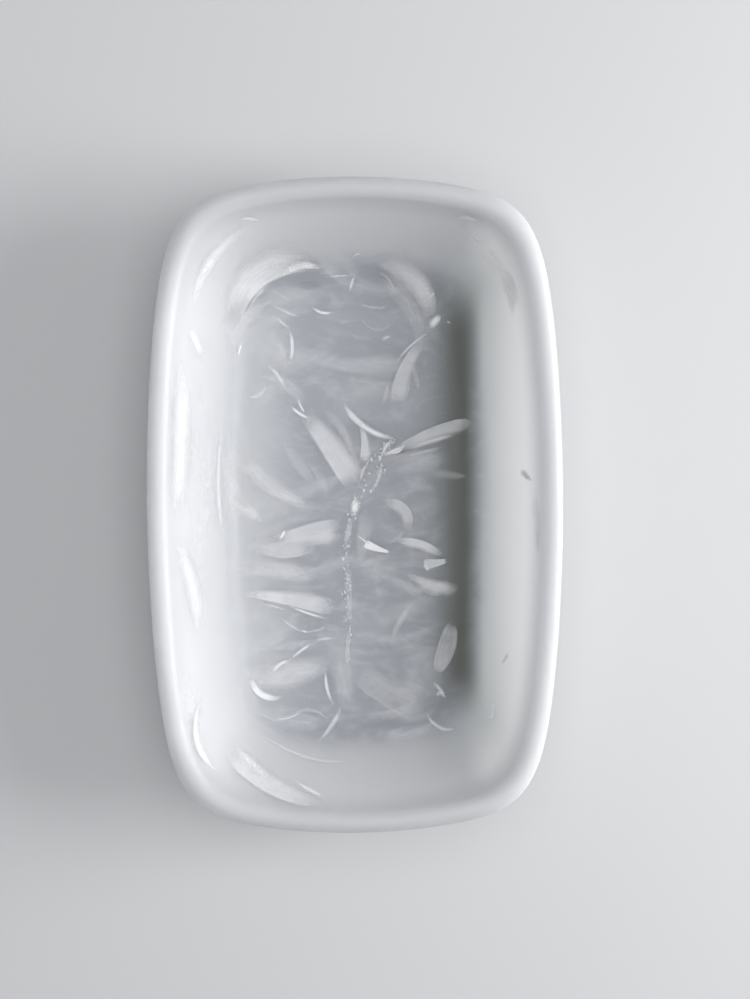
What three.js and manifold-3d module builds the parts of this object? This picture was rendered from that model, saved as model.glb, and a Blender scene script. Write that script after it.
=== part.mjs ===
// A marbled soap mould dish: one thick-walled milky casting with a single open cavity, and the tongues of
// white pigment that were poured with it, which lie flush in its inner face.
// Millimetres, +Z up. The origin is the centre of the flat foot, and the long side runs along Y.

import * as THREE from "three";
import { mergeVertices } from "three/addons/utils/BufferGeometryUtils.js";
import Module from "manifold-3d";

// Driving dimensions
const WIDTH = 190; // over the rim, along X
const LENGTH = 300; // over the rim, along Y
const HEIGHT = 64;
const WALL = 10; // thickness of the wall, whose rim is a full round
const FLOOR = 8; // thickness under the cavity
const FLOOR_HALF_WIDTH = 49.5; // the flat of the floor, out to where the cove starts
const COVE = 16; // radius between the floor and the inner wall
const FOOT_EDGE = 14; // radius between the foot and the outer wall
const WALL_BOW = 250; // radius of the slightly bowed inner wall

// The plan is a superellipse whose sides are arched
const SQUARENESS = 8.8; // exponent of the superellipse
const SIDE_ARCH = 0.116; // how far the long sides draw in at their ends, as a share of the half width
const END_ARCH = 0.082; // the same for the short ends, as a share of the half length

// White tongues
const VEIL_DEPTH = 1.6; // how deep a tongue reaches into the casting
const GAP = 0.3; // clearance between a tongue and its pocket

// Facets
const AROUND = 88; // points on each ring of the plan
const CORNER_CROWDING = 0.12; // draws those points towards the corners, in radians
const ARC_STEPS = { cove: 4, wall: 4, rim: 8, footEdge: 4 };
const VEIL_STEPS = 9; // stations along a tongue

const RIM_RADIUS = WALL / 2;
const RIM_CENTRE = new THREE.Vector2(WIDTH / 2 - RIM_RADIUS, HEIGHT - RIM_RADIUS);
const COVE_CENTRE = new THREE.Vector2(FLOOR_HALF_WIDTH, FLOOR + COVE);
const WALL_CENTRE = meetingPoint(RIM_CENTRE, WALL_BOW + RIM_RADIUS, COVE_CENTRE, WALL_BOW - COVE);
const FOOT_EDGE_CENTRE = footEdgeCentre();
const RIM_SIDE = headingFrom(WALL_CENTRE, RIM_CENTRE);
const COVE_SIDE = headingFrom(WALL_CENTRE, COVE_CENTRE);
const FOOT_SIDE = headingFrom(WALL_CENTRE, FOOT_EDGE_CENTRE);

const wasm = await Module();
wasm.setup();

// The point at one distance from a and another from b, on the side of the dish's axis.
function meetingPoint(a, fromA, b, fromB) {
  const apart = a.distanceTo(b);
  const along = (fromA ** 2 - fromB ** 2 + apart ** 2) / (2 * apart);
  const aside = Math.sqrt(fromA ** 2 - along ** 2);
  const towardsB = b.clone().sub(a).normalize();
  const across = new THREE.Vector2(towardsB.y, -towardsB.x);
  return a.clone().addScaledVector(towardsB, along).addScaledVector(across, aside);
}

// The foot's edge is an arc that touches the outer wall and the surface the dish stands on.
function footEdgeCentre() {
  const reach = WALL_BOW + WALL - FOOT_EDGE;
  const x = WALL_CENTRE.x + Math.sqrt(reach ** 2 - (WALL_CENTRE.y - FOOT_EDGE) ** 2);
  return new THREE.Vector2(x, FOOT_EDGE);
}

function headingFrom(a, b) {
  return b.clone().sub(a).angle() - 2 * Math.PI;
}

// Points along an arc of the section, from one heading to another.
function arc(centre, radius, from, to, steps) {
  return new THREE.EllipseCurve(centre.x, centre.y, radius, radius, from, to, to < from).getPoints(steps);
}

// The inner face from the axis up to the rim, sunk by depth below the real one.
function innerFace(depth) {
  return [
    new THREE.Vector2(0, FLOOR - depth),
    ...arc(COVE_CENTRE, COVE + depth, -Math.PI / 2, COVE_SIDE, ARC_STEPS.cove),
    ...arc(WALL_CENTRE, WALL_BOW + depth, COVE_SIDE, RIM_SIDE, ARC_STEPS.wall).slice(1),
  ];
}

// The whole section as half widths and heights: foot, outer wall, rim, then down the inner face.
function castingSection() {
  return [
    new THREE.Vector2(0, 0),
    ...arc(FOOT_EDGE_CENTRE, FOOT_EDGE, -Math.PI / 2, FOOT_SIDE, ARC_STEPS.footEdge),
    ...arc(WALL_CENTRE, WALL_BOW + WALL, FOOT_SIDE, RIM_SIDE, ARC_STEPS.wall).slice(1),
    ...arc(RIM_CENTRE, RIM_RADIUS, RIM_SIDE, RIM_SIDE + Math.PI, ARC_STEPS.rim).slice(1, -1),
    ...innerFace(0).reverse(),
  ];
}

// The half length of the ring whose half width is given: every ring of the wall keeps the rim's margin.
function halfLengthOf(halfWidth) {
  const margin = (LENGTH - WIDTH) / 2;
  return halfWidth + margin * Math.min(1, halfWidth / FLOOR_HALF_WIDTH);
}

// A point on the plan of one ring, at an angle from +X.
function planPoint(angle, halfWidth) {
  const c = Math.cos(angle);
  const s = Math.sin(angle);
  const reach = (Math.abs(c) ** SQUARENESS + Math.abs(s) ** SQUARENESS) ** (-1 / SQUARENESS);
  const u = reach * c;
  const v = reach * s;
  return [halfWidth * u * (1 - SIDE_ARCH * v * v), halfLengthOf(halfWidth) * v * (1 - END_ARCH * u * u)];
}

// A section turned into a solid of round plan, then drawn out to the dish's own plan.
function dishShape(section) {
  const shape = new THREE.LatheGeometry(section, AROUND).rotateX(Math.PI / 2);
  const position = shape.getAttribute("position");
  for (let i = 0; i < position.count; i++) {
    const x = position.getX(i);
    const y = position.getY(i);
    const turn = Math.atan2(y, x);
    const [planX, planY] = planPoint(turn + CORNER_CROWDING * Math.sin(4 * turn), Math.hypot(x, y));
    position.setXY(i, planX, planY);
  }
  return shape;
}

function solid(geometry) {
  const bare = geometry.clone();
  bare.deleteAttribute("normal");
  bare.deleteAttribute("uv");
  const merged = mergeVertices(bare);
  const mesh = new wasm.Mesh({
    numProp: 3,
    vertProperties: merged.getAttribute("position").array,
    triVerts: new Uint32Array(merged.index.array),
  });
  return new wasm.Manifold(mesh);
}

function geometryOf(manifold) {
  const mesh = manifold.getMesh();
  const geometry = new THREE.BufferGeometry();
  geometry.setAttribute("position", new THREE.BufferAttribute(mesh.vertProperties, 3));
  geometry.setIndex(new THREE.BufferAttribute(mesh.triVerts, 1));
  geometry.computeVertexNormals();
  return geometry;
}

// The space inside the dish, with its face sunk by depth, closed by a lid above the rim.
function cavity(depth) {
  const wallTop = HEIGHT + WALL;
  const face = innerFace(depth);
  const edge = face[face.length - 1];
  const lid = [new THREE.Vector2(edge.x, wallTop), new THREE.Vector2(0, wallTop)];
  return solid(dishShape([...face, ...lid]));
}

// The arc between two ends that stands off their chord by bulge, on its left.
function bowedLine(ends, bulge) {
  const [start, end] = ends.map(([x, y]) => new THREE.Vector2(x, y));
  const chord = end.clone().sub(start);
  const left = new THREE.Vector2(-chord.y, chord.x).normalize();
  const radius = (chord.lengthSq() / 4 + bulge ** 2) / (2 * bulge);
  const centre = start.clone().add(end).multiplyScalar(0.5).addScaledVector(left, bulge - radius);
  const from = start.clone().sub(centre).angle();
  const to = end.clone().sub(centre).angle();
  const reach = Math.abs(radius);
  return new THREE.EllipseCurve(centre.x, centre.y, reach, reach, from, to, bulge > 0);
}

// The plan of a tongue: widest between its pointed ends, and grown by margin all round.
function tonguePlan({ ends, bulge, halfWidth }, margin) {
  const centreline = bowedLine(ends, bulge);
  const left = [];
  const right = [];
  for (let i = 0; i <= VEIL_STEPS; i++) {
    const share = i / VEIL_STEPS;
    const ahead = centreline.getTangent(share);
    const across = new THREE.Vector2(-ahead.y, ahead.x);
    const end = margin * (i === 0 ? -1 : i === VEIL_STEPS ? 1 : 0);
    const middle = centreline.getPoint(share).addScaledVector(ahead, end);
    const reach = halfWidth * Math.sqrt(Math.sin(Math.PI * share)) + margin;
    if (reach < 1e-6) {
      left.push(middle);
      continue;
    }
    left.push(middle.clone().addScaledVector(across, reach));
    right.push(middle.clone().addScaledVector(across, -reach));
  }
  return new THREE.Shape([...left, ...right.reverse()]);
}

function tonguePrism(tongue, margin) {
  const plan = tonguePlan(tongue, margin);
  return solid(new THREE.ExtrudeGeometry(plan, { depth: HEIGHT + WALL, bevelEnabled: false }));
}

// Each tongue is an arc in plan between two ends: it bulges to the left of the way from one to the other, or to
// the right where bulge is negative, and halfWidth is its greatest. The ones near a side climb the wall.
const TONGUES = {
  crescent_veil: { ends: [[-56, 85], [-13, 114]], bulge: 21, halfWidth: 4 },
  upper_right_veil: { ends: [[8, 114], [37, 92]], bulge: 9, halfWidth: 5 },
  trailing_veil: { ends: [[40, 84], [20, 52]], bulge: -3, halfWidth: 3.5 },
  ring_veil: { ends: [[3, 111], [5, 97]], bulge: -5, halfWidth: 1.6 },
  wing_veil: { ends: [[-28, 48], [-2, 12]], bulge: 2, halfWidth: 6 },
  swan_neck_veil: { ends: [[-6, 50], [24, 31]], bulge: -5, halfWidth: 1.8 },
  feather_veil: { ends: [[23, 25], [55, 38]], bulge: 2, halfWidth: 3 },
  upper_left_tongue: { ends: [[-54, 26], [-8, -5]], bulge: -8, halfWidth: 2.6 },
  middle_left_tongue: { ends: [[-49, -23], [-6, -12]], bulge: -4, halfWidth: 5 },
  lower_left_tongue: { ends: [[-55, -45], [-11, -54]], bulge: 2, halfWidth: 3.2 },
  lower_left_plume: { ends: [[-53, -87], [-14, -76]], bulge: -3, halfWidth: 4.6 },
  centre_fold_veil: { ends: [[-5, -69], [-19, -117]], bulge: 3, halfWidth: 2.6 },
  curl_veil: { ends: [[10, -2], [25, -14]], bulge: 6, halfWidth: 2 },
  dart_veil: { ends: [[3, -17], [18, -25]], bulge: -1, halfWidth: 1.6 },
  hook_veil: { ends: [[21, -20], [44, -31]], bulge: 3, halfWidth: 2 },
  right_plume: { ends: [[23, -35], [52, -43]], bulge: -2, halfWidth: 2.4 },
  oval_veil: { ends: [[49, -61], [41, -84]], bulge: 1, halfWidth: 3.8 },
  lower_right_knot: { ends: [[36, -102], [50, -108]], bulge: -6, halfWidth: 2 },
  upper_left_wall_veil: { ends: [[-44, 131], [-72, 90]], bulge: -9, halfWidth: 1.6 },
  left_wall_veil: { ends: [[-74, 78], [-81, -8]], bulge: -3, halfWidth: 2 },
  lower_left_wall_veil: { ends: [[-81, -16], [-77, -55]], bulge: 2, halfWidth: 2 },
  corner_loop_veil: { ends: [[-71, -86], [-65, -121]], bulge: -6, halfWidth: 1.6 },
  folded_veil: { ends: [[-59, -116], [-14, -136]], bulge: -5, halfWidth: 3.4 },
  right_wall_veil: { ends: [[50, 128], [73, 86]], bulge: 6, halfWidth: 1.8 },
};

const milky = new THREE.MeshStandardMaterial({ color: 0xd2d4da, roughness: 0.42, metalness: 0 });
const white = new THREE.MeshStandardMaterial({ color: 0xf1f1f2, roughness: 0.4, metalness: 0 });

function named(name, manifold, material) {
  const mesh = new THREE.Mesh(geometryOf(manifold), material);
  mesh.name = name;
  return mesh;
}

function build() {
  const dish = new THREE.Group();
  const openSpace = cavity(0);
  const skin = cavity(VEIL_DEPTH).subtract(openSpace);
  const pocketSpace = cavity(VEIL_DEPTH + GAP);
  let casting = solid(dishShape(castingSection()));
  for (const [name, tongue] of Object.entries(TONGUES)) {
    dish.add(named(name, tonguePrism(tongue, 0).intersect(skin), white));
    casting = casting.subtract(tonguePrism(tongue, GAP).intersect(pocketSpace));
  }
  dish.add(named("casting", casting, milky));
  return dish;
}

export default build();
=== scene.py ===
"""A marbled soap mould dish: a thick milky casting with veils of white pigment poured through it.

The casting is drawn out ring by ring from its foot over the rim and down into the cavity. The veils are sheets
without thickness, laid on its inner face. Metres, in the frame's own axes: +Z up, the long side along Y.
"""

import itertools
import math
import random

import bpy
from mathutils import Matrix, Vector


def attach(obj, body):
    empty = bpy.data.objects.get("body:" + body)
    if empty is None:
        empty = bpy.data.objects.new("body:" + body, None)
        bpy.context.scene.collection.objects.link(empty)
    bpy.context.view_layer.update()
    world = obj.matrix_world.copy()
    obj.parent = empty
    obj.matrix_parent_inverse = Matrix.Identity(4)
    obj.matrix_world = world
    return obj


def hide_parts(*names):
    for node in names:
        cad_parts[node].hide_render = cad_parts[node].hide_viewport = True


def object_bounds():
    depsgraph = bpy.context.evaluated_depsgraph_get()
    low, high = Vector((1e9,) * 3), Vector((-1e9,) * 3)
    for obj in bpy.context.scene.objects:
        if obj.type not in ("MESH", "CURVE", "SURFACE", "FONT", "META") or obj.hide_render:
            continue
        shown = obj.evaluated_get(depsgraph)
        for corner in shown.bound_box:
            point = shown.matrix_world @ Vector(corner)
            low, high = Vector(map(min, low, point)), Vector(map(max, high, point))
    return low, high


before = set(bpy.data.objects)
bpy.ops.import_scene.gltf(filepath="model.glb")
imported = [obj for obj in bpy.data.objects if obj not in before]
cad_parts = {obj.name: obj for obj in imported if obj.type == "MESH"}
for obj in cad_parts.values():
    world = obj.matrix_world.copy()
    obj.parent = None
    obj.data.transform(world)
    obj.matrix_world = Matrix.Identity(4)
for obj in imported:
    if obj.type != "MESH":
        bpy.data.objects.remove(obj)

CAD_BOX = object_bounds()
MM = 0.001

# The casting, as in the frame
HALF_WIDTH = CAD_BOX[1].x
HALF_LENGTH = CAD_BOX[1].y
HEIGHT = CAD_BOX[1].z
WALL = 10 * MM
FLOOR = 8 * MM
FLOOR_HALF_WIDTH = 49.5 * MM
COVE = 16 * MM
FOOT_EDGE = 14 * MM
WALL_BOW = 250 * MM
SQUARENESS = 8.8
SIDE_ARCH = 0.116
END_ARCH = 0.082

# Facets of the casting
AROUND = 240
CORNER_CROWDING = 0.12
FLAT_STEPS = 10
COVE_STEPS = 10
WALL_STEPS = 12
RIM_STEPS = 20
FOOT_EDGE_STEPS = 8
OUTER_RINGS = FLAT_STEPS + FOOT_EDGE_STEPS + WALL_STEPS

# Veils: the grid of a stroke, its height above the casting, how it fades, and the thinner milk round it
STROKE_STEPS = 40
STROKE_ROWS = 12
ABOVE_DISH = 1.5 * HEIGHT
VEIL_LIFT = 0.12 * MM
LIFT_STEP = 0.003 * MM
CRISP_MARGIN = 0.18
SOFT_MARGIN = 0.9
SOFT_FADE = 2.6
FAN_FADE = 4
CRISP_FADES = (5, 8)
FAINTEST = 0.03
ROUNDING = 9
NARROWEST_TIP = 0.03
HALO_SPREAD = 1.5
HALO_SHARE = 0.3

# Bubbles along the seam where the pours met
BUBBLES = 420
BEAD_FLATNESS = 0.6
IN_CLUSTER = 0.5
BUBBLE_RADIUS = (0.15 * MM, 0.7 * MM)
SEAM_SPREAD = 1.3 * MM
ON_BRANCH = 0.12
CLUSTERS = 9
CLUSTER_REACH = 0.02


# ---------------------------------------------------------------- modelling

def deselect_all():
    if bpy.context.mode != "OBJECT":
        bpy.ops.object.mode_set(mode="OBJECT")
    bpy.ops.object.select_all(action="DESELECT")


def select_only(piece):
    deselect_all()
    piece.select_set(True)
    bpy.context.view_layer.objects.active = piece


def apply_modifiers(piece):
    select_only(piece)
    for modifier in list(piece.modifiers):
        bpy.ops.object.modifier_apply(modifier=modifier.name)


def give(piece, name, material):
    """Names a finished piece, and gives it its finish and its place in the frame."""
    piece.name = name
    piece.data.name = name
    piece.data.materials.clear()
    piece.data.materials.append(material)
    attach(piece, "root")


# ---------------------------------------------------------------- the casting's section and plan

def meeting_point(a, from_a, b, from_b):
    """The point at one distance from a and another from b, on the side of the dish's axis."""
    apart = (b - a).length
    along = (from_a ** 2 - from_b ** 2 + apart ** 2) / (2 * apart)
    aside = math.sqrt(from_a ** 2 - along ** 2)
    towards_b = (b - a).normalized()
    across = Vector((towards_b.y, -towards_b.x))
    return a + along * towards_b + aside * across


def heading(a, b):
    return math.atan2(b.y - a.y, b.x - a.x)


def arc(centre, radius, start, end, steps):
    turns = (start + (end - start) * i / steps for i in range(steps + 1))
    return [centre + radius * Vector((math.cos(turn), math.sin(turn))) for turn in turns]


def casting_section():
    """Half widths and heights, from the foot's middle over the rim to the floor's middle."""
    rim_radius = WALL / 2
    rim = Vector((HALF_WIDTH - rim_radius, HEIGHT - rim_radius))
    cove = Vector((FLOOR_HALF_WIDTH, FLOOR + COVE))
    wall = meeting_point(rim, WALL_BOW + rim_radius, cove, WALL_BOW - COVE)
    outer_bow = WALL_BOW + WALL
    foot_reach = math.sqrt((outer_bow - FOOT_EDGE) ** 2 - (wall.y - FOOT_EDGE) ** 2)
    foot_edge = Vector((wall.x + foot_reach, FOOT_EDGE))
    at_rim, at_cove, at_foot = heading(wall, rim), heading(wall, cove), heading(wall, foot_edge)
    foot = [Vector((foot_edge.x * i / FLAT_STEPS, 0)) for i in range(1, FLAT_STEPS)]
    floor = [Vector((cove.x * i / FLAT_STEPS, FLOOR)) for i in range(FLAT_STEPS - 1, 0, -1)]
    return [
        *foot,
        *arc(foot_edge, FOOT_EDGE, -math.pi / 2, at_foot, FOOT_EDGE_STEPS),
        *arc(wall, outer_bow, at_foot, at_rim, WALL_STEPS)[1:],
        *arc(rim, rim_radius, at_rim, at_rim + math.pi, RIM_STEPS)[1:],
        *arc(wall, WALL_BOW, at_rim, at_cove, WALL_STEPS)[1:],
        *arc(cove, COVE, at_cove, -math.pi / 2, COVE_STEPS)[1:],
        *floor,
    ]


def plan_point(x, y):
    """Moves a point of a round plan to the dish's own plan: a superellipse whose sides are arched."""
    half_width = math.hypot(x, y)
    half_length = half_width + (HALF_LENGTH - HALF_WIDTH) * min(1, half_width / FLOOR_HALF_WIDTH)
    turn = math.atan2(y, x)
    turn += CORNER_CROWDING * math.sin(4 * turn)
    c, s = math.cos(turn), math.sin(turn)
    reach = (abs(c) ** SQUARENESS + abs(s) ** SQUARENESS) ** (-1 / SQUARENESS)
    u, v = reach * c, reach * s
    return half_width * u * (1 - SIDE_ARCH * v * v), half_length * v * (1 - END_ARCH * u * u)


def close_ring(casting, height, half_width):
    """Draws the ring at that height and half width in to a single point."""
    bpy.ops.object.mode_set(mode="OBJECT")
    for vertex in casting.data.vertices:
        on_ring = abs(vertex.co.z - height) < 1e-6 and math.hypot(*vertex.co.xy) < half_width * 1.01
        vertex.select = on_ring
    bpy.ops.object.mode_set(mode="EDIT")
    bpy.ops.mesh.extrude_region_move()
    bpy.ops.mesh.merge(type="CENTER")


def make_casting():
    section = casting_section()
    first = section[0]
    deselect_all()
    bpy.ops.mesh.primitive_circle_add(vertices=AROUND, radius=first.x, location=(0, 0, first.y))
    casting = bpy.context.object
    bpy.ops.object.mode_set(mode="EDIT")
    bpy.ops.mesh.select_mode(type="VERT")
    bpy.ops.mesh.select_all(action="SELECT")
    for last, ring in zip(section, section[1:]):
        bpy.ops.mesh.extrude_region_move(TRANSFORM_OT_translate={"value": (0, 0, ring.y - last.y)})
        spread = ring.x / last.x
        bpy.ops.transform.resize(value=(spread, spread, 1), center_override=(0, 0, ring.y))
    bpy.ops.object.mode_set(mode="OBJECT")
    bpy.ops.object.transform_apply()
    close_ring(casting, section[-1].y, section[-1].x)
    close_ring(casting, first.y, first.x)
    bpy.ops.mesh.select_all(action="SELECT")
    bpy.ops.mesh.normals_make_consistent(inside=False)
    bpy.ops.object.mode_set(mode="OBJECT")
    outside = casting.data.attributes.new("outside", "FLOAT", "POINT")
    for vertex in casting.data.vertices:
        past_outer_wall = vertex.index // AROUND - OUTER_RINGS
        outside.data[vertex.index].value = 1 - smooth(past_outer_wall / (0.5 * RIM_STEPS))
        vertex.co.xy = plan_point(vertex.co.x, vertex.co.y)
    bpy.ops.object.shade_smooth()
    return casting


# ---------------------------------------------------------------- veils

SOFT, LEFT, RIGHT, BOTH = "soft", "left", "right", "both"

# Each stroke is an arc in plan, in millimetres: its two ends, its bulge to the left of the way from one to
# the other, its half width, how opaque it is, and the side where its edge is crisp. A stroke with one half
# width is pointed at both ends, and one with two fans out from the first to the second.
VEILS = {
    "crescent_veil": [
        ((-57, 82), (-12, 113), 18, 7.5, 0.74, RIGHT),
        ((-37, 108), (-12, 113), 5, 2, 0.95, RIGHT),
        ((-52, 92), (-38, 108), 1.5, 1, 0.45, RIGHT),
    ],
    "upper_right_veil": [
        ((5, 115), (38, 84), 13, 8, 0.62, SOFT),
        ((9, 113), (21, 100), 4, 1.5, 0.35, SOFT),
        ((29, 114), (38, 95), 3, 1.4, 0.35, SOFT),
        ((0, 119), (5, 120), 0.5, 0.9, 0.7, SOFT),
        ((36, 100), (41, 104), -1, 1.3, 0.6, SOFT),
    ],
    "trailing_veil": [
        ((41, 85), (20, 66), -2, 1.1, 0.55, SOFT),
        ((38, 82), (24, 46), -4, (2, 7), 0.5, RIGHT),
        ((38, 84), (45, 92), 1, 3, 0.8, SOFT),
        ((28, 70), (33, 52), 1, 2.5, 0.25, SOFT),
    ],
    "ring_veil": [
        ((-20, 97), (-8, 94), -2.5, 1.2, 0.85, SOFT),
        ((2, 112), (-1, 102), -0.5, 1.2, 0.65, SOFT),
        ((-14, 110), (2, 111), 0.3, 0.5, 0.7, SOFT),
        ((2, 98), (19, 96), -1.5, 1.3, 0.35, SOFT),
        ((5, 95), (21, 94), -10, 1.2, 0.25, SOFT),
        ((14, 79), (20, 82), 0.3, 1.3, 0.55, SOFT),
    ],
    "wing_veil": [
        ((-26, 48), (5, 7), 1, (4, 10), 0.58, RIGHT),
        ((-31, 49), (-19, 41), -1.5, 1.3, 0.8, SOFT),
        ((-27, 53), (-22, 43), -1, 0.9, 0.75, SOFT),
        ((-17, 48), (2, 16), 4, 4, 0.3, SOFT),
    ],
    "swan_neck_veil": [
        ((-6, 53), (25, 31), -6, 2.1, 0.95, SOFT),
        ((-4, 48), (8, 37), -2, 1.8, 0.6, LEFT),
        ((25, 31), (17, 25), 3.5, 1.1, 0.95, SOFT),
        ((20, 31), (15, 22), -1.5, 1.1, 0.85, SOFT),
        ((3, 41), (6, 18), 2, (0.8, 4), 0.55, RIGHT),
    ],
    "feather_veil": [
        ((17, 22), (62, 38), 3, (2, 5.5), 0.5, LEFT),
        ((14, 22), (28, 28), 0.5, 1.6, 0.8, SOFT),
        ((22, 24), (56, 34), 1, 2, 0.55, SOFT),
        ((22, 21), (47, 27), 0.5, 1.5, 0.35, SOFT),
    ],
    "upper_left_tongue": [
        ((-58, 30), (-10, -3), -8, (9, 4), 0.38, SOFT),
        ((-50, 11), (-20, 0), -2, 3, 0.3, SOFT),
        ((-60, 0), (-43, -10), 1, 5, 0.4, SOFT),
    ],
    "middle_left_tongue": [
        ((-44, -21), (-3, -15), 1, (3, 10), 0.52, LEFT),
        ((-53, -19), (-14, -20), -3, 4.8, 0.45, RIGHT),
        ((-51, -22), (-24, -26), -2.5, 0.9, 0.5, SOFT),
        ((-33, -12), (-37, -19), 0.5, 0.9, 0.85, RIGHT),
    ],
    "lower_left_tongue": [
        ((-60, -44), (-6, -52), 1.5, (1.2, 7.5), 0.58, RIGHT),
        ((-34, -50), (-11, -58), -0.5, 0.9, 0.7, RIGHT),
        ((-42, -37), (-13, -32), 1, 4, 0.3, SOFT),
    ],
    "lower_left_plume": [
        ((-56, -88), (-7, -80), -1, 10, 0.38, SOFT),
        ((-50, -83), (-34, -95), -6.5, 2, 0.8, RIGHT),
        ((-41, -86), (-30, -78), 2, 1.1, 0.75, LEFT),
        ((-33, -79), (-19, -69), 0.5, 0.9, 0.7, LEFT),
        ((-21, -70), (-8, -68), 1.5, 0.9, 0.55, SOFT),
        ((-43, -106), (-23, -101), -3, 0.9, 0.5, SOFT),
    ],
    "centre_fold_veil": [
        ((-13, -80), (-9, -102), -2.5, 1, 0.65, RIGHT),
        ((-5, -66), (-3, -108), -1, 9, 0.36, SOFT),
        ((-6, -100), (-20, -119), 2, 2, 0.55, SOFT),
    ],
    "curl_veil": [
        ((13, -2), (25, -16), 7, 4, 0.5, LEFT),
        ((25, -13), (16, -20), 2, 2, 0.3, SOFT),
    ],
    "dart_veil": [
        ((19, -25), (5, -20), 0.5, (0.4, 2.8), 1, BOTH),
        ((1, -15), (9, -21), -0.5, 0.8, 0.8, SOFT),
    ],
    "hook_veil": [
        ((18, -20), (46, -29), 3, 3, 0.65, LEFT),
        ((47, -29), (34, -31), 0.5, (1, 3.4), 0.6, BOTH),
        ((36, -29), (38, -35), -0.5, 1.4, 0.7, RIGHT),
    ],
    "right_plume": [
        ((22, -34), (55, -45), -1.5, (1.5, 7), 0.6, SOFT),
        ((34, -46), (18, -78), -4, 3, 0.35, SOFT),
        ((28, -40), (46, -48), 1, 5, 0.4, SOFT),
    ],
    "oval_veil": [
        ((49, -59), (41, -86), 1, 5, 0.36, BOTH),
    ],
    "lower_right_knot": [
        ((36, -102), (51, -109), -6, 1.3, 0.6, SOFT),
        ((38, -89), (46, -100), 1, 1.6, 0.5, SOFT),
        ((40, -97), (46, -95), 0.5, 1.4, 0.5, SOFT),
    ],
    "upper_left_wall_veil": [
        ((-42, 131), (-73, 86), -10, 3, 0.5, SOFT),
        ((-62, 118), (-71, 104), -1, 1.6, 0.7, SOFT),
        ((-53, 131), (-42, 131), 1, 1, 0.6, SOFT),
    ],
    "left_wall_veil": [
        ((-79, 74), (-83, -10), 1, 4.5, 0.7, SOFT),
        ((-75, 85), (-70, 70), -1, 2.4, 0.7, SOFT),
    ],
    "lower_left_wall_veil": [
        ((-83, -12), (-74, -62), 2, 3.6, 0.7, SOFT),
    ],
    "corner_loop_veil": [
        ((-71, -85), (-62, -124), -8, 1.4, 0.9, SOFT),
    ],
    "folded_veil": [
        ((-12, -137), (-61, -113), 6, (1.2, 6), 0.62, LEFT),
        ((-58, -114), (-38, -130), -1.5, 1.8, 0.8, SOFT),
        ((-31, -129), (-14, -136), -0.5, 1, 0.75, SOFT),
    ],
    "right_wall_veil": [
        ((42, 132), (74, 86), 9, 2.6, 0.4, SOFT),
        ((44, 132), (59, 128), 2, 1.4, 0.5, SOFT),
    ],
}

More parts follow.
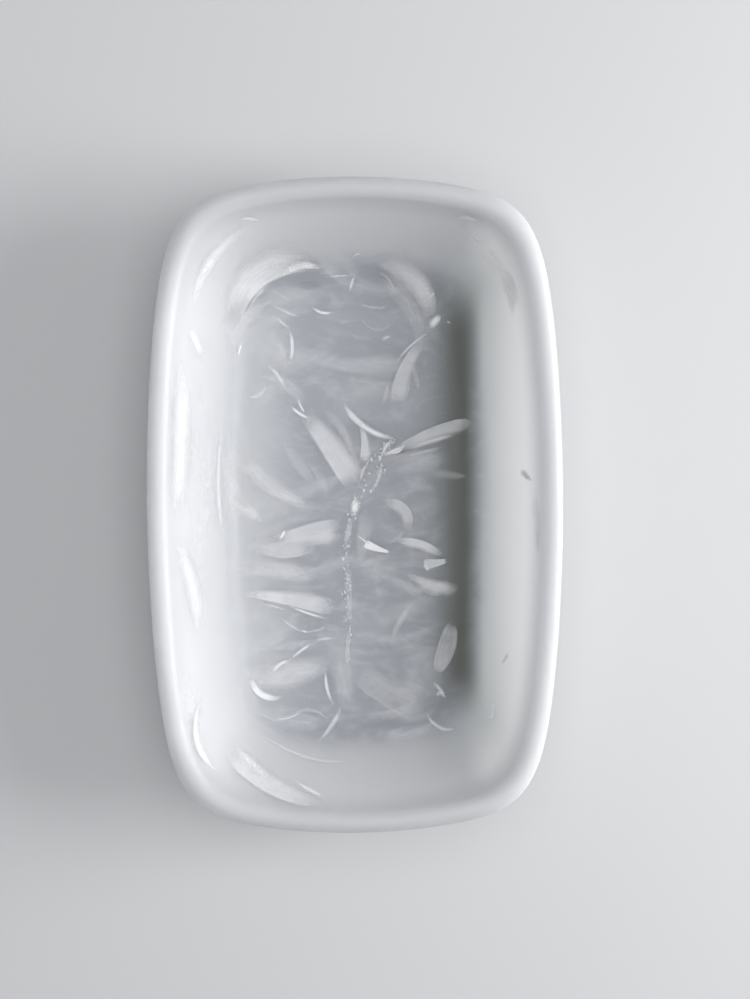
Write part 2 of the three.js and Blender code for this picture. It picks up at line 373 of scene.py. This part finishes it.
# Fainter strokes between the veils, which the frame leaves out
WISPS = {
    "upper_wisps": [
        ((-58, 66), (-34, 100), 10, 7, 0.3, SOFT),
        ((6, 112), (34, 70), 10, 9, 0.3, SOFT),
        ((-50, 64), (-20, 44), 5, (4, 7), 0.25, SOFT),
        ((-54, 79), (-56, 71), 0.3, 0.8, 0.95, SOFT),
        ((-37, 92), (-29, 85), -1, 1, 0.55, SOFT),
        ((-31, 87), (-31, 66), 2, 1.2, 0.7, RIGHT),
        ((-43, 69), (-32, 54), 1.5, 1.5, 0.55, SOFT),
        ((-53, 53), (-42, 60), -4, 1.4, 0.35, SOFT),
        ((-40, 98), (-24, 91), -1, 1.5, 0.35, SOFT),
        ((-40, 84), (-34, 66), 3, 3, 0.2, SOFT),
        ((14, 46), (17, 60), -1, 2, 0.25, SOFT),
        ((20, 62), (26, 44), 1, 3, 0.25, SOFT),
    ],
    "left_wisps": [
        ((-62, -33), (-14, -39), 3, 8, 0.4, SOFT),
        ((-52, -70), (-10, -66), -3, (3, 6), 0.25, SOFT),
        ((-26, 24), (-12, -2), 3, (3, 5), 0.25, SOFT),
        ((-62, 44), (-62, -24), -3.5, 0.9, 0.6, LEFT),
        ((-36, 34), (-14, 6), -2, 6, 0.25, SOFT),
        ((-60, 44), (-54, -22), -3, 7, 0.3, SOFT),
        ((-37, -56), (-24, -65), -0.5, 0.8, 0.5, SOFT),
        ((-27, -63), (-22, -65), 0.3, 1.2, 0.7, SOFT),
        ((-25, -64), (-13, -61), -1, 0.7, 0.4, SOFT),
        ((-48, -50), (-32, -54), 1, 1, 0.35, SOFT),
    ],
    "right_wisps": [
        ((10, 12), (52, 22), 2, 9, 0.26, SOFT),
        ((10, -38), (38, -52), 4, (3, 7), 0.3, SOFT),
        ((6, -62), (30, -70), -3, (4, 6), 0.2, SOFT),
        ((32, 15), (60, 11), 0.5, 4, 0.22, SOFT),
        ((20, 12), (44, 6), -1, 4, 0.2, SOFT),
        ((6, 2), (3, -36), 1, 7, 0.28, SOFT),
        ((46, 89), (49, 87), 0.2, 0.7, 0.5, SOFT),
    ],
    "seam_milk": [
        ((1, 3), (0, -7), 0.5, 2.8, 1, SOFT),
        ((0, -5), (-4, -24), -0.5, 2.5, 0.4, SOFT),
        ((-4, -22), (-2, -66), 1, 3.2, 0.28, SOFT),
        ((-3, -60), (-4, -84), 0.5, 2.4, 0.3, SOFT),
        ((14, 23), (7, 3), 2.5, 1.5, 0.5, SOFT),
        ((9, 22), (3, 8), -1, 1, 0.5, SOFT),
    ],
    "lower_wisps": [
        ((-50, -100), (-8, -108), -4, 8, 0.26, SOFT),
        ((-34, -108), (-12, -110), 6, 1.4, 0.3, SOFT),
        ((4, -112), (44, -108), -5, 4, 0.28, SOFT),
        ((-50, -109), (4, -124), -6, 0.9, 0.45, SOFT),
        ((-6, -76), (40, -102), -3, (6, 14), 0.34, RIGHT),
        ((0, -104), (30, -108), 1, 5, 0.2, SOFT),
        ((60, -108), (66, -92), -3, 1.4, 0.3, SOFT),
    ],
    # Painted sheen: faint white sheets that brighten the left wall
    "wall_sheen": [
        ((-78, -70), (-70, -104), -4, 6, 0.35, SOFT),
        ((-70, 66), (-72, -50), -1, 9, 0.3, SOFT),
    ],
}

# Clearer streaks, which look darker than the milky wall around them
CLEAR_STREAKS = {
    "clear_streaks": [
        ((78, 18), (82, 11), -0.5, 1.6, 0.4, SOFT),
        ((82, 12), (83, -30), 1, 2, 0.16, SOFT),
        ((73, -69), (69, -78), 0.5, 1, 0.25, SOFT),
        ((68, 112), (73, 84), 2, 3, 0.2, LEFT),
        ((-31, 107), (-12, 109), -2.5, 3, 0.16, LEFT),
    ],
}

BRANCH = [(9, 23), (6, 15), (3, 7)]
SEAM = [(20, 31), (14, 22), (12, 10), (2, 1), (0, -6), (-4, -23), (-3, -40), (-4, -54), (-2, -66), (-4, -80)]


def bowed_line(start, end, bulge, share):
    """A point of the arc that stands off its chord by bulge, and the way the arc heads there."""
    chord = end - start
    left = Vector((-chord.y, chord.x)).normalized()
    radius = (chord.length_squared / 4 + bulge ** 2) / (2 * bulge)
    centre = (start + end) / 2 + left * (bulge - radius)
    sweep = 4 * math.atan2(2 * bulge, chord.length)
    spoke = start - centre
    spoke.rotate(Matrix.Rotation(-sweep * share, 2))
    heading_there = Vector((spoke.y, -spoke.x)) * math.copysign(1, bulge)
    return centre + spoke, heading_there.normalized()


def smooth(value):
    value = min(1, max(0, value))
    return value * value * (3 - 2 * value)


def edge_fade(side, crisp):
    """Falls from 1 in a stroke's middle to 0 at its edges, sharply at a crisp one."""
    is_crisp = crisp == BOTH or crisp == (LEFT if side > 0 else RIGHT)
    return smooth((1 - abs(side)) / (CRISP_MARGIN if is_crisp else SOFT_MARGIN))


def reach_at(half_width, share):
    """A stroke's half width on its way: a fan's grows to a round end, a pointed one's swells midway."""
    if isinstance(half_width, tuple):
        first, last = half_width
        return (first + (last - first) * share) * max(0.2, 1 - share ** ROUNDING) ** 0.5
    return half_width * max(NARROWEST_TIP, math.sin(math.pi * share)) ** 0.5


def end_fades(half_width, crisp):
    """How steeply a stroke fades in at its first end and out at its last."""
    if crisp == BOTH:
        return CRISP_FADES
    if crisp != SOFT and isinstance(half_width, tuple):
        return SOFT_FADE, FAN_FADE
    return SOFT_FADE, SOFT_FADE


def add_stroke(start, end, bulge, half_width, opacity, crisp):
    """A flat ribbon along a bowed line, above the dish, with how opaque it is kept at each vertex."""
    deselect_all()
    bpy.ops.mesh.primitive_grid_add(x_subdivisions=STROKE_STEPS, y_subdivisions=STROKE_ROWS, size=1)
    ribbon = bpy.context.object
    opaque = ribbon.data.attributes.new("opacity", "FLOAT", "POINT")
    start, end = Vector(start) * MM, Vector(end) * MM
    first_fade, last_fade = end_fades(half_width, crisp)
    for vertex in ribbon.data.vertices:
        share, side = vertex.co.x + 0.5, 2 * vertex.co.y
        middle, ahead = bowed_line(start, end, bulge * MM, share)
        reach = reach_at(half_width, share) * MM * side
        vertex.co = (middle.x - ahead.y * reach, middle.y + ahead.x * reach, ABOVE_DISH)
        fade = smooth(first_fade * share) * smooth(last_fade * (1 - share))
        opaque.data[vertex.index].value = opacity * edge_fade(side, crisp) * fade
    trim(ribbon)
    return ribbon


def trim(ribbon):
    """Cuts away the edges of a ribbon that can't be seen."""
    bpy.ops.object.mode_set(mode="EDIT")
    bpy.ops.mesh.select_mode(type="FACE")
    bpy.ops.object.mode_set(mode="OBJECT")
    opaque = ribbon.data.attributes["opacity"].data
    for face in ribbon.data.polygons:
        face.select = all(opaque[vertex].value < FAINTEST for vertex in face.vertices)
    bpy.ops.object.mode_set(mode="EDIT")
    bpy.ops.mesh.delete(type="FACE")
    bpy.ops.object.mode_set(mode="OBJECT")


def halo_of(start, end, bulge, half_width, opacity, crisp):
    """The thinner milk round a stroke: wider, fainter and soft on both sides."""
    if isinstance(half_width, tuple):
        wider = tuple(HALO_SPREAD * part for part in half_width)
    else:
        wider = HALO_SPREAD * half_width
    return start, end, bulge, wider, HALO_SHARE * opacity, SOFT


def lay_on(casting, ribbon, lift):
    laying = ribbon.modifiers.new("laying", "SHRINKWRAP")
    laying.target = casting
    laying.wrap_method = "PROJECT"
    laying.use_project_z = True
    laying.use_negative_direction = True
    laying.use_positive_direction = False
    laying.offset = lift
    apply_modifiers(ribbon)


def make_veil(strokes, casting, lifts):
    """Strokes laid on the casting's inner face, each just above the last, and joined to one sheet."""
    ribbons = [add_stroke(*stroke) for stroke in (halo_of(*strokes[0]), *strokes)]
    for ribbon in ribbons:
        lay_on(casting, ribbon, next(lifts))
    deselect_all()
    for ribbon in ribbons:
        ribbon.select_set(True)
    bpy.context.view_layer.objects.active = ribbons[0]
    bpy.ops.object.join()
    bpy.ops.object.shade_smooth()
    return bpy.context.object


# ---------------------------------------------------------------- bubbles

def seam_point(seam, share):
    """A point of a seam, which runs straight from each of its bends to the next."""
    bends = [Vector(bend) * MM for bend in seam]
    lengths = [(b - a).length for a, b in zip(bends, bends[1:])]
    left = share * sum(lengths)
    for bend, following, length in zip(bends, bends[1:], lengths):
        if left <= length:
            return bend.lerp(following, left / length)
        left -= length
    return bends[-1]


def make_bubbles():
    """Flattened beads that break the floor's surface along the seam."""
    chance = random.Random(7)
    clusters = [chance.random() for _ in range(CLUSTERS)]
    deselect_all()
    bpy.ops.mesh.primitive_uv_sphere_add(segments=8, ring_count=6, radius=1)
    bead = bpy.context.object
    bpy.ops.object.mode_set(mode="EDIT")
    bpy.ops.mesh.select_all(action="SELECT")
    bpy.ops.transform.resize(value=(1, 1, BEAD_FLATNESS), center_override=(0, 0, 0))
    bpy.ops.object.mode_set(mode="OBJECT")
    beads = []
    for _ in range(BUBBLES):
        copy = bead.copy()
        copy.data = bead.data.copy()
        bpy.context.scene.collection.objects.link(copy)
        near_cluster = chance.gauss(chance.choice(clusters), CLUSTER_REACH)
        share = near_cluster if chance.random() < IN_CLUSTER else chance.random()
        seam = BRANCH if chance.random() < ON_BRANCH else SEAM
        middle = seam_point(seam, min(1, max(0, share)))
        smallest, largest = BUBBLE_RADIUS
        radius = smallest + (largest - smallest) * chance.random() ** 3
        aside = (chance.gauss(0, SEAM_SPREAD), chance.gauss(0, SEAM_SPREAD))
        copy.location = (middle.x + aside[0], middle.y + aside[1], FLOOR + VEIL_LIFT)
        copy.scale = (radius, radius * (1 + 0.5 * chance.random()), radius)
        beads.append(copy)
    bpy.data.objects.remove(bead)
    deselect_all()
    for copy in beads:
        copy.select_set(True)
    bpy.context.view_layer.objects.active = beads[0]
    bpy.ops.object.join()
    bubbles = bpy.context.object
    bpy.ops.object.transform_apply(location=True, rotation=True, scale=True)
    bpy.ops.object.shade_smooth()
    return bubbles


# ---------------------------------------------------------------- materials

FLOOR_TONE = (0.43, 0.445, 0.48, 1)
CLOUD_TONE = (0.74, 0.75, 0.765, 1)
WALL_TONE = (0.61, 0.61, 0.62, 1)
# Painted light: the left wall's tone and the right wall's tone are lighter than the wall's, for the light that
# falls on them and glows through
LEFT_WALL_PAINTED_LIGHT_TONE = (0.70, 0.70, 0.715, 1)
RIGHT_WALL_PAINTED_GLOW_TONE = (0.74, 0.735, 0.73, 1)
# Painted shade: the rim is darker than the wall, and darker still on the right, where the window lights it
RIM_PAINTED_SHADE_TONE = (0.48, 0.48, 0.485, 1)
WINDOW_RIM_PAINTED_SHADE_TONE = (0.42, 0.42, 0.425, 1)
# Painted shade: the outer wall's tone on the side that faces the window
WINDOW_SIDE_PAINTED_SHADE_TONE = (0.40, 0.405, 0.415, 1)
# A painted shadow at the foot of the right wall, and painted shade round it on the right floor and wall
SHADE_TONE = (0.135, 0.138, 0.122, 1)
PAINTED_CORNER_SHADE_TONE = (0.24, 0.265, 0.26, 1)
VEIL_TONE = (0.92, 0.92, 0.93, 1)
CLEAR_TONE = (0.22, 0.22, 0.22, 1)
STUDIO_TONE = (0.62, 0.62, 0.62, 1)
SILICONE_IOR = 1.41
LIGHT_REACH = 0.03


class Value:
    """A number that changes over a surface: one socket of a node, with arithmetic."""

    def __init__(self, tree, socket):
        self.tree = tree
        self.socket = socket

    def maths(self, operation, *values):
        return add_node(self.tree, "Math", dict(enumerate(values)), operation=operation)

    def kept_within(self, least, most):
        return self.maths("MAXIMUM", self.maths("MINIMUM", self, most), least)

    def __add__(self, other):
        return self.maths("ADD", self, other)

    def __radd__(self, other):
        return self.maths("ADD", other, self)

    def __sub__(self, other):
        return self.maths("SUBTRACT", self, other)

    def __rsub__(self, other):
        return self.maths("SUBTRACT", other, self)

    def __mul__(self, other):
        return self.maths("MULTIPLY", self, other)

    def __rmul__(self, other):
        return self.maths("MULTIPLY", other, self)


def add_node(tree, kind, inputs, output=0, **settings):
    """Adds a node with its settings, then its sockets' values or links. Returns one of its outputs."""
    node = tree.nodes.new("ShaderNode" + kind)
    for key, value in settings.items():
        setattr(node, key, value)
    for key, value in inputs.items():
        if isinstance(value, Value):
            tree.links.new(value.socket, node.inputs[key])
        else:
            node.inputs[key].default_value = value
    return Value(tree, node.outputs[output])


class Finish:
    """A material under construction, and its node tree."""

    def __init__(self, name):
        self.material = bpy.data.materials.new(name)
        self.material.use_nodes = True
        self.tree = self.material.node_tree
        self.tree.nodes.clear()

    def node(self, kind, inputs=None, output=0, **settings):
        return add_node(self.tree, kind, inputs or {}, output, **settings)

    def ramp(self, value, start, end):
        """Rises smoothly from 0 at start to 1 at end, which may be the lower of the two."""
        inputs = {"Value": value, "From Min": start, "From Max": end}
        return self.node("MapRange", inputs, interpolation_type="SMOOTHSTEP")

    def blend(self, share, first, second):
        """A colour that is the first where share is 0 and the second where it is 1."""
        return self.node("Mix", {0: share, 6: first, 7: second}, output=2, data_type="RGBA")

    def place(self):
        return self.node("TexCoord", output=3)

    def part_of(self, vector, axis):
        return self.node("SeparateXYZ", {"Vector": vector}, output=axis)

    def noise(self, vector, scale, detail, distortion=0.0):
        inputs = {"Vector": vector, "Scale": scale, "Detail": detail, "Distortion": distortion}
        return self.node("TexNoise", inputs)

    def output(self, shader):
        surface = self.tree.nodes.new("ShaderNodeOutputMaterial").inputs["Surface"]
        self.tree.links.new(shader.socket, surface)
        return self.material


def make_milky():
    """Clear and grey where the casting is thin, at the floor, and milky white up the thick walls, with light
    and shade painted in: lighter on the left and up the right wall, darker on the rim and on the window side
    outside, and a painted shadow at the foot of the right wall.
    """
    finish = Finish("milky_silicone")
    place = finish.place()
    x, y, z = (finish.part_of(place, axis) for axis in (0, 1, 2))

    # Where things are: the wall, the painted shadow band at the foot of the right wall and the painted shade
    # round it, the marbling, and the left side, where light is painted
    up_the_wall = finish.ramp(z, 0.008, 0.024)
    along_painted_shadow = finish.ramp(y, 0.114, 0.080) * finish.ramp(y, -0.108, -0.082)
    painted_shadow_band = finish.ramp(x, 0.036, 0.053) * finish.ramp(x, 0.064, 0.054) * along_painted_shadow
    painted_corner_shade = finish.ramp(x, 0.026, 0.046) * finish.ramp(x, 0.082, 0.058)
    painted_corner_shade = painted_corner_shade * finish.ramp(y, 0.134, 0.100) * finish.ramp(y, -0.134, -0.100)
    drawn_out = finish.node("CombineXYZ", {"X": x * 0.5, "Y": y, "Z": z})
    clouds = finish.ramp(finish.noise(drawn_out, 38.0, 3.0, 1.8), 0.42, 0.70)
    fine = finish.ramp(finish.noise(drawn_out, 95.0, 4.0, 2.6), 0.46, 0.78)
    near_end = finish.ramp(y, 0.080, 0.122) + finish.ramp(y, -0.100, -0.130)
    painted_light_left = finish.ramp(x, -0.020, -0.058) * (1 - 0.7 * near_end)

    # The inside, from the floor up, with painted light on the left and up the right wall, painted shade on the
    # rim, and the painted shadow band and the painted shade round it on top
    tone = finish.blend(clouds * 0.5 + fine * 0.28, FLOOR_TONE, CLOUD_TONE)
    tone = finish.blend(painted_light_left * 0.75, tone, CLOUD_TONE)
    wall = finish.blend(painted_light_left, WALL_TONE, LEFT_WALL_PAINTED_LIGHT_TONE)
    wall = finish.blend(finish.ramp(x, 0.050, 0.064), wall, RIGHT_WALL_PAINTED_GLOW_TONE)
    tone = finish.blend(up_the_wall, tone, wall)
    at_rim = finish.ramp(z, 0.046, 0.064) * (1 - 0.5 * painted_light_left)
    tone = finish.blend(at_rim, tone, RIM_PAINTED_SHADE_TONE)
    tone = finish.blend(finish.ramp(x, 0.084, 0.096) * finish.ramp(z, 0.040, 0.060), tone, WINDOW_RIM_PAINTED_SHADE_TONE)
    # Painted shade on the right side of the floor and wall, round the painted shadow band
    tone = finish.blend(painted_corner_shade * 0.5, tone, PAINTED_CORNER_SHADE_TONE)
    # Painted shadow of the right wall on the floor beside it
    tone = finish.blend(painted_shadow_band * 0.9, tone, SHADE_TONE)

    # The outer wall, with painted shade: darker on the side that faces the window and lighter where it faces
    # away
    outside = finish.node("Attribute", output="Fac", attribute_name="outside")
    away = finish.ramp(x, 0.10, -0.06)
    outer = finish.blend(0.7 * away, WINDOW_SIDE_PAINTED_SHADE_TONE, WALL_TONE)
    outer = finish.blend((clouds * 0.5 + fine * 0.2) * (0.35 + 0.65 * away), outer, CLOUD_TONE)
    tone = finish.blend(outside, tone, outer)

    shader = finish.node("BsdfPrincipled", {
        "Base Color": tone,
        "Roughness": 0.46 + 0.10 * clouds,
        "IOR": SILICONE_IOR,
        "Subsurface Weight": 1.0,
        "Subsurface Radius": (1.0, 1.0, 1.0),
        "Subsurface Scale": LIGHT_REACH,
    })
    return finish.output(shader)


def make_streaked(name, tone):
    """A sheet as opaque as each vertex says, feathered along its stroke and clouded."""
    finish = Finish(name)
    place = finish.place()
    opacity = finish.node("Attribute", output="Fac", attribute_name="opacity")
    along = finish.part_of(finish.node("UVMap"), 0)
    across = finish.part_of(finish.node("UVMap"), 1)
    drift = finish.part_of(place, 0) * 12.0
    lengthways = finish.node("CombineXYZ", {"X": along * 2.0, "Y": across * 6.5, "Z": drift})
    streaks = finish.ramp(finish.noise(lengthways, 1.0, 3.0, 0.9), 0.30, 0.68)
    streaks = streaks + (1 - streaks) * finish.ramp(opacity, 0.08, 0.50) * 0.85
    clouds = finish.ramp(finish.noise(place, 60.0, 2.0, 1.0), 0.28, 0.66)
    ragged = finish.ramp(finish.noise(place, 42.0, 2.0, 1.2), 0.40, 0.75)
    milk = opacity * (0.62 + 0.38 * streaks + 0.16 * clouds) - 0.07 * (1 - streaks) - 0.07 * ragged
    shader = finish.node("BsdfPrincipled", {
        "Base Color": tone,
        "Alpha": milk.kept_within(0, 1),
        "Roughness": 0.48,
        "IOR": SILICONE_IOR,
    })
    return finish.output(shader)


def make_bubble_finish():
    finish = Finish("bubble_white")
    gleam = finish.ramp(finish.noise(finish.place(), 400.0, 2.0), 0.35, 0.65)
    shader = finish.node("BsdfPrincipled", {
        "Base Color": VEIL_TONE,
        "Alpha": 0.35 + 0.5 * gleam,
        "Roughness": 0.18,
        "IOR": SILICONE_IOR,
    })
    return finish.output(shader)


def make_plain_floor():
    finish = Finish("studio_floor")
    shader = finish.node("BsdfPrincipled", {"Base Color": STUDIO_TONE, "Roughness": 0.8})
    return finish.output(shader)


# ---------------------------------------------------------------- studio

def add_area_light(name, place, aim, width, height, power, colour):
    light = bpy.data.lights.new(name, "AREA")
    light.shape = "RECTANGLE"
    light.size = width
    light.size_y = height
    light.energy = power
    light.color = colour
    lamp = bpy.data.objects.new(name, light)
    bpy.context.scene.collection.objects.link(lamp)
    lamp.location = place
    lamp.rotation_euler = (Vector(aim) - Vector(place)).to_track_quat("-Z", "Y").to_euler()


WINDOW = {"place": (1.3, 0.05, 0.35), "aim": (0, 0, 0.03), "width": 0.6, "height": 1.3}
CEILING = {"place": (0, 0.1, 1.3), "aim": (0, 0, 0), "width": 1.0, "height": 1.4}
WINDOW_POWER = 30
WINDOW_COLOUR = (0.98, 0.99, 1.0)
CEILING_POWER = 8
CEILING_COLOUR = (0.97, 0.98, 1.0)
ROOM_COLOUR = (0.93, 0.95, 1.0, 1)
ROOM_STRENGTH = 0.32
STUDIO_WIDTH = 16
CAMERA_PLACE = (-0.0212, 0.0395, 0.6912)
CAMERA_TURN = (-0.0555, -0.0473, -0.0057)
LENS = 50
SENSOR_WIDTH = 36


def make_studio():
    deselect_all()
    bpy.ops.mesh.primitive_plane_add(size=STUDIO_WIDTH, location=(0, 0, 0))
    floor = bpy.context.object
    floor.name = "studio_floor"
    floor.data.materials.append(make_plain_floor())
    add_area_light("window", **WINDOW, power=WINDOW_POWER, colour=WINDOW_COLOUR)
    add_area_light("ceiling", **CEILING, power=CEILING_POWER, colour=CEILING_COLOUR)
    world = bpy.data.worlds.new("soft_room")
    world.use_nodes = True
    background = world.node_tree.nodes["Background"].inputs
    background["Color"].default_value = ROOM_COLOUR
    background["Strength"].default_value = ROOM_STRENGTH
    bpy.context.scene.world = world
    bpy.context.scene.view_settings.view_transform = "Standard"


def make_camera():
    lens = bpy.data.cameras.new("camera")
    lens.lens = LENS
    lens.sensor_width = SENSOR_WIDTH
    lens.dof.use_dof = False
    camera = bpy.data.objects.new("camera", lens)
    bpy.context.scene.collection.objects.link(camera)
    camera.location = CAMERA_PLACE
    camera.rotation_euler = CAMERA_TURN
    bpy.context.scene.camera = camera


# ---------------------------------------------------------------- assembly

make_camera()
make_studio()
casting = make_casting()
give(casting, "dish_casting", make_milky())
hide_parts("casting")

white_streaked = make_streaked("white_silicone", VEIL_TONE)
clear_streaked = make_streaked("clear_silicone", CLEAR_TONE)
sheets = [
    *((name, strokes, "white_silicone", white_streaked) for name, strokes in WISPS.items()),
    *((name, strokes, "milky_silicone", clear_streaked) for name, strokes in CLEAR_STREAKS.items()),
    *((name, strokes, "white_silicone", white_streaked) for name, strokes in VEILS.items()),
]
lifts = (VEIL_LIFT + layer * LIFT_STEP for layer in itertools.count())
for name, strokes, slot, material in sheets:
    sheet = make_veil(strokes, casting, lifts)
    give(sheet, name + "_sheet", material)
    if name in VEILS:
        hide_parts(name)

give(make_bubbles(), "seam_bubbles", make_bubble_finish())
